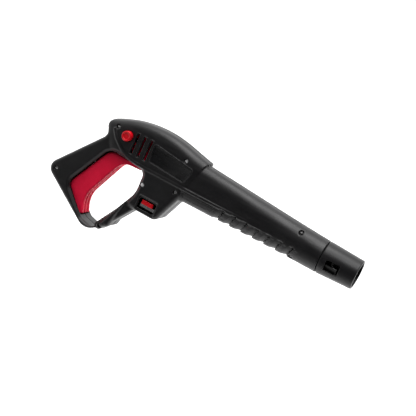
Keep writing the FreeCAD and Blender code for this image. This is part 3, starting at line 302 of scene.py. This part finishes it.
FINISHES = {
    "housing_plastic": moulded_plastic("housing_black", (0.0055, 0.0052, 0.0058), (0.0085, 0.0080, 0.0088),
                                       (0.36, 0.47), 0.45 * MM, 0.035 * MM, (0.030, 0.029, 0.032),
                                       shine=0.38),
    "collar_plastic": moulded_plastic("collar_black", (0.0075, 0.0070, 0.0078), (0.011, 0.0105, 0.0115),
                                      (0.34, 0.44), 0.4 * MM, 0.02 * MM, (0.025, 0.024, 0.026),
                                      wear=(0.60, 0.70), shine=0.3),
    "insert_plastic": moulded_plastic("insert_black", (0.004, 0.004, 0.0042), (0.007, 0.007, 0.0072),
                                      (0.35, 0.45), 0.5 * MM, 0.02 * MM, (0.02, 0.02, 0.02)),
    "badge_plastic": moulded_plastic("badge_black", (0.004, 0.004, 0.0045), (0.006, 0.006, 0.0065),
                                     (0.25, 0.35), 0.3 * MM, 0.008 * MM, (0.02, 0.02, 0.02)),
    "trigger_red": moulded_plastic("trigger_red", (0.78, 0.008, 0.045), (0.92, 0.013, 0.062),
                                   (0.42, 0.55), 0.5 * MM, 0.02 * MM, (0.90, 0.04, 0.09), shine=0.14),
    "button_red": moulded_plastic("button_red", (0.60, 0.002, 0.008), (0.72, 0.004, 0.014),
                                  (0.26, 0.36), 0.3 * MM, 0.008 * MM, (0.85, 0.05, 0.06), shine=0.35),
    # painted shade: the screws' steel is coloured near black to stand in for the shade inside their deep
    # holes
    "screw_steel": brushed_metal("screw_steel", (0.006, 0.006, 0.007), (0.45, 0.6), (1.0, 0.2, 1.0)),
    "bright_steel": brushed_metal("bright_steel", (0.78, 0.78, 0.79), (0.16, 0.34), (0.08, 1.0, 1.0)),
    "spring_steel": brushed_metal("spring_steel", (0.45, 0.45, 0.46), (0.25, 0.4), (1.0, 1.0, 1.0)),
    "brass": brushed_metal("machined_brass", (0.72, 0.52, 0.24), (0.2, 0.38), (1.0, 0.1, 1.0)),
    "seal_rubber": soft_rubber("seal_rubber"),
}
NODE_SLOT = {part["node"]: part["material_slot"] for part in frame["record"]["subparts"]}
NODE_BODY = {}
for body_name, members in frame["record"]["behaviour"]["bodies"].items():
    for member in members:
        NODE_BODY[member] = body_name


# ------------------------------------------------------------------ mesh helpers
def add_object(name, mesh):
    piece = bpy.data.objects.new(name, mesh)
    bpy.context.scene.collection.objects.link(piece)
    return piece


def set_only_material(piece, material):
    piece.data.materials.clear()
    piece.data.materials.append(material)


def baked(piece):
    """Turn the modifiers into plain mesh and drop them."""
    bpy.context.view_layer.update()
    evaluated = piece.evaluated_get(bpy.context.evaluated_depsgraph_get())
    mesh = bpy.data.meshes.new_from_object(evaluated)
    piece.modifiers.clear()
    old = piece.data
    piece.data = mesh
    bpy.data.meshes.remove(old)
    return piece


def merged_copy(node, name):
    """A copy of a CAD node's mesh with its loose triangles joined up."""
    mesh = frame["nodes"][node].data.copy()
    work = bmesh.new()
    work.from_mesh(mesh)
    bmesh.ops.remove_doubles(work, verts=work.verts, dist=MERGE_DISTANCE)
    work.to_mesh(mesh)
    work.free()
    return add_object(name, mesh)


def moulding(node, name, grain, smoothing, most_triangles=None, shrink=0.0):
    """Rebuild a CAD node as a moulding with rounded edges, in an even mesh, a little smaller if asked."""
    piece = merged_copy(node, name)
    remesh = piece.modifiers.new("even_mesh", "REMESH")
    remesh.mode = "VOXEL"
    remesh.voxel_size = grain
    baked(piece)
    soften = piece.modifiers.new("soft_edges", "SMOOTH")
    soften.factor = 0.5
    soften.iterations = smoothing
    baked(piece)
    if shrink:
        fit = piece.modifiers.new("running_fit", "DISPLACE")
        fit.strength = -shrink
        fit.mid_level = 0.0
        baked(piece)
    triangles = 2 * len(piece.data.polygons)
    if most_triangles is not None and triangles > most_triangles:
        thin = piece.modifiers.new("fewer_faces", "DECIMATE")
        thin.ratio = most_triangles / triangles
        baked(piece)
    set_only_material(piece, FINISHES[NODE_SLOT[node]])
    piece.data.shade_smooth()
    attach(piece, NODE_BODY[node])
    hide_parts(node)
    return piece


def finish_cad_nodes():
    """Every CAD node that stays gets its own finish."""
    for node, obj in frame["nodes"].items():
        set_only_material(obj, FINISHES[NODE_SLOT[node]])


# ------------------------------------------------------------------ node trees that make repeats
class TreeMaker:
    """Small helper that adds nodes to one Geometry Nodes tree and keeps its inputs by name."""

    def __init__(self, name, sizes):
        self.tree = bpy.data.node_groups.new(name, "GeometryNodeTree")
        face = self.tree.interface
        self.sockets = {}
        face.new_socket("Geometry", in_out="INPUT", socket_type="NodeSocketGeometry")
        for label, kind, value in sizes:
            socket = face.new_socket(label, in_out="INPUT", socket_type=kind)
            socket.default_value = value
            self.sockets[label] = socket.identifier
        finish = face.new_socket("Finish", in_out="INPUT", socket_type="NodeSocketMaterial")
        self.sockets["Finish"] = finish.identifier
        face.new_socket("Geometry", in_out="OUTPUT", socket_type="NodeSocketGeometry")
        self.given = self.tree.nodes.new("NodeGroupInput")
        self.result = self.tree.nodes.new("NodeGroupOutput")

    def size(self, label):
        return self.given.outputs[label]

    def node(self, kind, **inputs):
        """Add a node; an input is a socket to link or a plain value. Underscores stand for spaces."""
        node = self.tree.nodes.new(kind)
        for label, value in inputs.items():
            self.feed(node.inputs[label.replace("_", " ")], value)
        return node

    def feed(self, socket, value):
        if isinstance(value, bpy.types.NodeSocket):
            self.tree.links.new(value, socket)
        else:
            socket.default_value = value

    def math(self, operation, first, second=0.0):
        node = self.tree.nodes.new("ShaderNodeMath")
        node.operation = operation
        self.feed(node.inputs[0], first)
        self.feed(node.inputs[1], second)
        return node.outputs["Value"]

    def ramp(self, value, low, high, to_low, to_high):
        node = self.tree.nodes.new("ShaderNodeMapRange")
        node.clamp = True
        for place, number in enumerate((value, low, high, to_low, to_high)):
            self.feed(node.inputs[place], number)
        return node.outputs["Result"]

    def vector(self, x, y, z):
        return self.node("ShaderNodeCombineXYZ", X=x, Y=y, Z=z).outputs["Vector"]

    def finish(self, geometry):
        """Smooth faces, real mesh and the finish, then out."""
        smooth = self.node("GeometryNodeSetShadeSmooth", Geometry=geometry)
        real = self.node("GeometryNodeRealizeInstances", Geometry=smooth.outputs["Geometry"])
        painted = self.node("GeometryNodeSetMaterial", Geometry=real.outputs["Geometry"],
                            Material=self.size("Finish"))
        self.tree.links.new(painted.outputs["Geometry"], self.result.inputs["Geometry"])
        return self.tree, self.sockets


def grown(name, maker, values, slot, points=(), lines=()):
    """Run a node tree on a few points or lines and keep its result as plain mesh."""
    mesh = bpy.data.meshes.new(name)
    mesh.from_pydata([tuple(point) for point in points], list(lines), [])
    piece = add_object(name, mesh)
    tree, sockets = maker
    modifier = piece.modifiers.new("grow", "NODES")
    modifier.node_group = tree
    for label, value in values.items():
        modifier[sockets[label]] = value
    modifier[sockets["Finish"]] = FINISHES[slot]
    baked(piece)
    return piece


def joined(pieces, name):
    """One mesh from several pieces that share a finish."""
    work = bmesh.new()
    for piece in pieces:
        work.from_mesh(piece.data)
    mesh = bpy.data.meshes.new(name)
    work.to_mesh(mesh)
    work.free()
    mesh.materials.append(pieces[0].data.materials[0])
    for piece in pieces:
        old = piece.data
        bpy.data.objects.remove(piece)
        bpy.data.meshes.remove(old)
    return add_object(name, mesh)


def spring_tree():
    """Wire wound from (0, 0, 0) along Z, with its first and last turns closed up."""
    make = TreeMaker("closed_end_spring", [
        ("Length", "NodeSocketFloat", 0.02),
        ("Radius", "NodeSocketFloat", 0.004),
        ("Wire", "NodeSocketFloat", 0.0006),
        ("Turns", "NodeSocketFloat", 7.0),
    ])
    wire = make.size("Wire")
    line = make.node("GeometryNodeCurvePrimitiveLine")
    points = make.node("GeometryNodeResampleCurve", Curve=line.outputs["Curve"], Count=SPRING_POINTS)
    along = make.node("GeometryNodeSplineParameter").outputs["Factor"]
    angle = make.math("MULTIPLY", make.math("MULTIPLY", along, make.size("Turns")), 2 * math.pi)
    end_turn = make.math("DIVIDE", 1.0, make.size("Turns"))
    last_turn = make.math("SUBTRACT", 1.0, end_turn)
    lift = make.math("MULTIPLY", wire, CLOSED_TURN_LIFT)
    open_part = make.math("SUBTRACT", make.size("Length"), make.math("MULTIPLY", lift, 2.0))
    rise = make.ramp(along, 0.0, end_turn, 0.0, lift)
    rise = make.math("ADD", rise, make.ramp(along, end_turn, last_turn, 0.0, open_part))
    rise = make.math("ADD", rise, make.ramp(along, last_turn, 1.0, 0.0, lift))
    x = make.math("MULTIPLY", make.math("COSINE", angle), make.size("Radius"))
    y = make.math("MULTIPLY", make.math("SINE", angle), make.size("Radius"))
    wound = make.node("GeometryNodeSetPosition", Geometry=points.outputs["Curve"],
                      Position=make.vector(x, y, rise))
    section = make.node("GeometryNodeCurvePrimitiveCircle", Resolution=SPRING_SIDES, Radius=wire)
    solid = make.node("GeometryNodeCurveToMesh", Curve=wound.outputs["Geometry"],
                      Profile_Curve=section.outputs["Curve"], Fill_Caps=True)
    return make.finish(solid.outputs["Mesh"])


def screw_tree():
    """A countersunk-edged pan head with a cross recess and its shank, on every point, facing -Y."""
    make = TreeMaker("cross_head_screws", [
        ("Head Radius", "NodeSocketFloat", 0.0027),
        ("Head Height", "NodeSocketFloat", 0.0022),
        ("Shank Radius", "NodeSocketFloat", 0.0015),
        ("Shank Length", "NodeSocketFloat", 0.02),
    ])
    radius = make.size("Head Radius")
    height = make.size("Head Height")
    rim_height = make.math("MULTIPLY", height, SCREW_RIM_SHARE)
    slope_height = make.math("SUBTRACT", height, rim_height)
    rim = make.node("GeometryNodeMeshCylinder", Vertices=SCREW_SIDES, Radius=radius, Depth=rim_height)
    rim_at = make.vector(0.0, 0.0, make.math("MULTIPLY", rim_height, 0.5))
    rim = make.node("GeometryNodeTransform", Geometry=rim.outputs["Mesh"], Translation=rim_at)
    dome = make.node("GeometryNodeMeshCone", Vertices=SCREW_SIDES, Radius_Bottom=radius,
                     Radius_Top=make.math("MULTIPLY", radius, SCREW_TOP_SHARE), Depth=slope_height)
    dome_at = make.vector(0.0, 0.0, rim_height)
    dome = make.node("GeometryNodeTransform", Geometry=dome.outputs["Mesh"], Translation=dome_at)
    shank = make.node("GeometryNodeMeshCylinder", Vertices=SCREW_SIDES, Radius=make.size("Shank Radius"),
                      Depth=make.size("Shank Length"))
    shank_at = make.vector(0.0, 0.0, make.math("MULTIPLY", make.size("Shank Length"), -0.5))
    shank = make.node("GeometryNodeTransform", Geometry=shank.outputs["Mesh"], Translation=shank_at)
    long_side = make.math("MULTIPLY", radius, CROSS_LENGTH_SHARE)
    short_side = make.math("MULTIPLY", radius, CROSS_WIDTH_SHARE)
    deep = make.math("MULTIPLY", height, CROSS_DEPTH_SHARE)
    bars = make.node("GeometryNodeJoinGeometry")
    for x, y in ((long_side, short_side), (short_side, long_side)):
        bar = make.node("GeometryNodeMeshCube", Size=make.vector(x, y, deep))
        bar = make.node("GeometryNodeTransform", Geometry=bar.outputs["Mesh"],
                        Translation=make.vector(0.0, 0.0, height))
        make.tree.links.new(bar.outputs["Geometry"], bars.inputs["Geometry"])
    body = make.node("GeometryNodeMeshBoolean")
    body.operation = "UNION"
    for part in (rim, dome, shank):
        make.tree.links.new(part.outputs["Geometry"], body.inputs["Mesh 2"])
    cut = make.node("GeometryNodeMeshBoolean")
    cut.operation = "DIFFERENCE"
    make.tree.links.new(body.outputs["Mesh"], cut.inputs["Mesh 1"])
    make.tree.links.new(bars.outputs["Geometry"], cut.inputs["Mesh 2"])
    placed = make.node("GeometryNodeInstanceOnPoints", Points=make.given.outputs["Geometry"],
                       Instance=cut.outputs["Mesh"])
    placed.inputs["Rotation"].default_value = (math.pi / 2, 0, 0)
    return make.finish(placed.outputs["Instances"])


def coil_between(name, tree, low, high, axis, wire, turns):
    """One spring that fills the box from low to high, wound along the given axis."""
    low = Vector(low)
    high = Vector(high)
    others = [side for side in range(3) if side != axis]
    outer = (high[others[0]] - low[others[0]]) / 2
    length = high[axis] - low[axis] - 2 * wire
    values = {"Length": length, "Radius": outer - wire, "Wire": wire, "Turns": turns}
    piece = grown(name, tree, values, "spring_steel")
    foot = (low + high) / 2
    foot[axis] = low[axis] + wire
    turn = Vector((0, 0, 1)).rotation_difference(Vector([1.0 if side == axis else 0.0 for side in range(3)]))
    piece.data.transform(Matrix.Translation(foot) @ turn.to_matrix().to_4x4())
    return piece


def islands(node):
    """The separate solids of a CAD node, each as its lowest and highest corner."""
    work = bmesh.new()
    work.from_mesh(frame["nodes"][node].data)
    bmesh.ops.remove_doubles(work, verts=work.verts, dist=MERGE_DISTANCE)
    left = set(work.verts)
    boxes = []
    while left:
        stack = [left.pop()]
        found = []
        while stack:
            vertex = stack.pop()
            found.append(vertex.co.copy())
            for edge in vertex.link_edges:
                other = edge.other_vert(vertex)
                if other in left:
                    left.remove(other)
                    stack.append(other)
        low = tuple(min(place[side] for place in found) for side in range(3))
        high = tuple(max(place[side] for place in found) for side in range(3))
        boxes.append((low, high))
    work.free()
    return sorted(boxes)


def build_springs():
    """Every spring in the gun: trigger, valve, seal sleeve and the hose catch's pair."""
    tree = spring_tree()
    for node, joint_name, axis, wire, turns in (
        ("trigger_spring", "trigger_squeeze", 0, 0.6 * MM, 8.0),
        ("valve_spring", "stem_slide", 0, 0.5 * MM, 6.0),
        ("sleeve_spring", "sleeve_slide", 0, 0.7 * MM, 5.5),
        ("catch_springs", "catch_slide", 1, 0.45 * MM, 5.0),
    ):
        coils = []
        for index, (low, high) in enumerate(islands(node)):
            coils.append(coil_between(f"{node}_coil_{index}", tree, low, high, axis, wire, turns))
        piece = joined(coils, node + "_wound")
        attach(piece, NODE_BODY[node])
        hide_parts(node)
        low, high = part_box(node)
        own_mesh(piece)


def build_screws():
    """The case screws, sunk in their holes on the right-hand side."""
    tree = screw_tree()
    screws = []
    for index, (low, high) in enumerate(islands("housing_screws")):
        head_radius = (high[0] - low[0]) / 2
        head_height = SCREW_HEAD_HEIGHT
        seat = (low[1] + head_height)
        values = {"Head Radius": head_radius, "Head Height": head_height,
                  "Shank Radius": SCREW_SHANK_RADIUS, "Shank Length": high[1] - seat}
        centre = ((low[0] + high[0]) / 2, seat, (low[2] + high[2]) / 2)
        screws.append(grown(f"case_screw_{index}", tree, values, "screw_steel", [centre]))
    piece = joined(screws, "case_screws")
    piece.data.set_sharp_from_angle(angle=SHARP_ANGLE)
    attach(piece, NODE_BODY["housing_screws"])
    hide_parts("housing_screws")


def badge_plate(node, name):
    """The name plate without a name: a raised rim round a field of fine moulded lines."""
    piece = merged_copy(node, name)
    low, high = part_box(node)
    outward = -1.0 if low[1] < 0 else 1.0
    work = bmesh.new()
    work.from_mesh(piece.data)
    work.normal_update()
    face_y = low[1] if outward < 0 else high[1]
    near = [face for face in work.faces if abs(face.calc_center_median().y - face_y) < PLATE_TOLERANCE]
    merged = bmesh.ops.dissolve_faces(work, faces=near)["region"]
    bmesh.ops.inset_region(work, faces=merged, thickness=PLATE_RIM, use_even_offset=True)
    for face in merged:
        for vertex in face.verts:
            vertex.co.y -= outward * PLATE_DEPTH
    work.to_mesh(piece.data)
    work.free()
    soft = piece.modifiers.new("rounded_rim", "BEVEL")
    soft.width = PLATE_EDGE
    soft.segments = 3
    soft.limit_method = "ANGLE"
    soft.angle_limit = SHARP_ANGLE
    baked(piece)
    set_only_material(piece, FINISHES[NODE_SLOT[node]])
    piece.data.set_sharp_from_angle(angle=SHARP_ANGLE)
    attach(piece, NODE_BODY[node])
    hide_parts(node)


def bead_tree():
    """A raised moulded bead of half-round section along every closed line."""
    make = TreeMaker("moulded_bead", [("Radius", "NodeSocketFloat", 0.0006)])
    line = make.node("GeometryNodeMeshToCurve", Mesh=make.given.outputs["Geometry"])
    section = make.node("GeometryNodeCurvePrimitiveCircle", Resolution=BEAD_SIDES,
                        Radius=make.size("Radius"))
    solid = make.node("GeometryNodeCurveToMesh", Curve=line.outputs["Curve"],
                      Profile_Curve=section.outputs["Curve"])
    return make.finish(solid.outputs["Mesh"])


def round_corners(corners, radius):
    """Places along a closed outline in X and Z, with each corner turned into an arc."""
    places = []
    count = len(corners)
    for index in range(count):
        before = Vector(corners[index - 1])
        here = Vector(corners[index])
        after = Vector(corners[(index + 1) % count])
        back = (before - here).normalized()
        ahead = (after - here).normalized()
        half = back.angle(ahead) / 2
        run = radius / math.tan(half)
        centre = here + (back + ahead).normalized() * radius / math.sin(half)
        start = here + back * run - centre
        end = here + ahead * run - centre
        for step in range(CORNER_STEPS + 1):
            share = step / CORNER_STEPS
            places.append(centre + (start * (1 - share) + end * share).normalized() * radius)
        length = (after - here).length - 2 * run
        for step in range(1, EDGE_STEPS):
            places.append(here + ahead * (run + length * step / EDGE_STEPS))
    return places


def laid_on(surface, places, side):
    """Points where lines across the gun through these places meet the moulding's outer side."""
    found = []
    for place in places:
        start = Vector((place[0], side * BESIDE_GUN, place[1]))
        hit = surface.ray_cast(start, Vector((0, -side, 0)))[0]
        found.append(hit + Vector((0, -side * BEAD_SINK, 0)))
    return found


def vent_outlines(pivot):
    """Closed outlines round the vent slots behind the badge."""
    outlines = []
    for index in range(VENT_COUNT):
        middle = pivot[0] + VENT_FIRST + VENT_PITCH * index
        left = middle - VENT_FRAME_WIDTH / 2
        right = middle + VENT_FRAME_WIDTH / 2
        low = VENT_LOW - VENT_FRAME_ROOM
        high = VENT_HIGH + VENT_FRAME_ROOM
        outlines.append(([(left, low), (right, low), (right, high), (left, high)], VENT_FRAME_CORNER))
    return outlines


def build_beads(node, half, name, side):
    """Raised frames round the vents and the badge, and round the field under the side ridge."""
    surface = BVHTree.FromObject(half, bpy.context.evaluated_depsgraph_get())
    low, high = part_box("trigger_pin")
    pivot = ((low[0] + high[0]) / 2, (low[2] + high[2]) / 2)
    outlines = vent_outlines(pivot)
    outlines.append(([(pivot[0] + x, z) for x, z in BADGE_FRAME], BADGE_FRAME_CORNER))
    outlines.append(([(pivot[0] + x, z) for x, z in SIDE_FIELD], SIDE_FIELD_CORNER))
    points = []
    lines = []
    for corners, radius in outlines:
        ring = laid_on(surface, round_corners(corners, radius), side)
        first = len(points)
        points.extend(ring)
        lines.extend((first + index, first + (index + 1) % len(ring)) for index in range(len(ring)))
    piece = grown(name, bead_tree(), {"Radius": BEAD_RADIUS}, NODE_SLOT[node], points, lines)
    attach(piece, NODE_BODY[node])


# ------------------------------------------------------------------ stage
def build_floor():
    work = bmesh.new()
    bmesh.ops.create_grid(work, x_segments=2, y_segments=2, size=FLOOR_SIZE / 2)
    mesh = bpy.data.meshes.new("floor")
    work.to_mesh(mesh)
    work.free()
    middle = FLOOR_SIZE / 2 - FLOOR_FRONT
    mesh.transform(Matrix.Translation((0, middle, cad_box[0][2] - FLOOR_DROP)))
    floor = add_object("floor", mesh)
    set_only_material(floor, pale_floor())


def view_direction():
    """Unit vector from the target back to the camera."""
    level = math.cos(VIEW_ELEVATION)
    across = math.sin(VIEW_AZIMUTH) * level
    towards = -math.cos(VIEW_AZIMUTH) * level
    return Vector((across, towards, math.sin(VIEW_ELEVATION)))


def build_room():
    """White room with a dimmer patch in front of the gun, and a broad light overhead."""
    world = bpy.data.worlds.new("studio")
    bpy.context.scene.world = world
    world.use_nodes = True
    tree = world.node_tree
    tree.nodes.clear()
    out = tree.nodes.new("ShaderNodeOutputWorld")
    light = tree.nodes.new("ShaderNodeBackground")
    seen = tree.nodes.new("ShaderNodeBackground")
    either = tree.nodes.new("ShaderNodeMixShader")
    path = tree.nodes.new("ShaderNodeLightPath")
    coordinates = tree.nodes.new("ShaderNodeTexCoord")
    facing = tree.nodes.new("ShaderNodeVectorMath")
    facing.operation = "DOT_PRODUCT"
    facing.inputs[1].default_value = view_direction()
    tree.links.new(coordinates.outputs["Generated"], facing.inputs[0])
    strength = map_range(tree, facing.outputs["Value"],
                         DARK_CONE_WIDE, DARK_CONE_TIGHT, ROOM_LIGHT, FRONT_LIGHT)
    tree.links.new(strength, light.inputs["Strength"])
    seen.inputs["Strength"].default_value = BACKDROP_STRENGTH
    for node in (light, seen):
        node.inputs["Color"].default_value = (1.0, 1.0, 1.0, 1.0)
    tree.links.new(path.outputs["Is Camera Ray"], either.inputs["Fac"])
    tree.links.new(light.outputs["Background"], either.inputs[1])
    tree.links.new(seen.outputs["Background"], either.inputs[2])
    tree.links.new(either.outputs["Shader"], out.inputs["Surface"])
    lamp = bpy.data.lights.new("overhead", "SUN")
    lamp.energy = OVERHEAD_STRENGTH
    lamp.angle = OVERHEAD_SPREAD
    overhead = bpy.data.objects.new("overhead", lamp)
    overhead.rotation_euler = (OVERHEAD_TILT, 0, 0)
    bpy.context.scene.collection.objects.link(overhead)


def build_camera():
    back = view_direction()
    level_right = Vector((0, 0, 1)).cross(back).normalized()
    level_up = back.cross(level_right)
    right = math.cos(VIEW_ROLL) * level_right + math.sin(VIEW_ROLL) * level_up
    up = -math.sin(VIEW_ROLL) * level_right + math.cos(VIEW_ROLL) * level_up
    data = bpy.data.cameras.new("camera")
    data.lens = LENS_MM
    data.sensor_width = SENSOR_MM
    camera = bpy.data.objects.new("camera", data)
    bpy.context.scene.collection.objects.link(camera)
    turn = Matrix((right, up, back)).transposed().to_4x4()
    camera.matrix_world = Matrix.Translation(VIEW_TARGET + back * VIEW_DISTANCE) @ turn
    bpy.context.scene.camera = camera


build_camera()
build_floor()
build_room()
bpy.context.scene.view_settings.view_transform = "Standard"
finish_cad_nodes()
right_half = moulding("housing_right", "right_half", SHELL_GRAIN, 5, SHELL_TRIANGLES)
left_half = moulding("housing_left", "left_half", SHELL_GRAIN, 5, SHELL_TRIANGLES)
build_beads("housing_right", right_half, "right_frames", -1)
build_beads("housing_left", left_half, "left_frames", 1)
moulding("nose_collar", "nose_ring", COLLAR_GRAIN, 5)
moulding("trigger", "red_trigger", TRIGGER_GRAIN, 4)
moulding("safety_button", "lock_button", BUTTON_GRAIN, 3, shrink=SLIDING_FIT)
moulding("catch_button", "catch_bar", CATCH_GRAIN, 2)
badge_plate("badge_right", "right_name_plate")
badge_plate("badge_left", "left_name_plate")
build_springs()
build_screws()
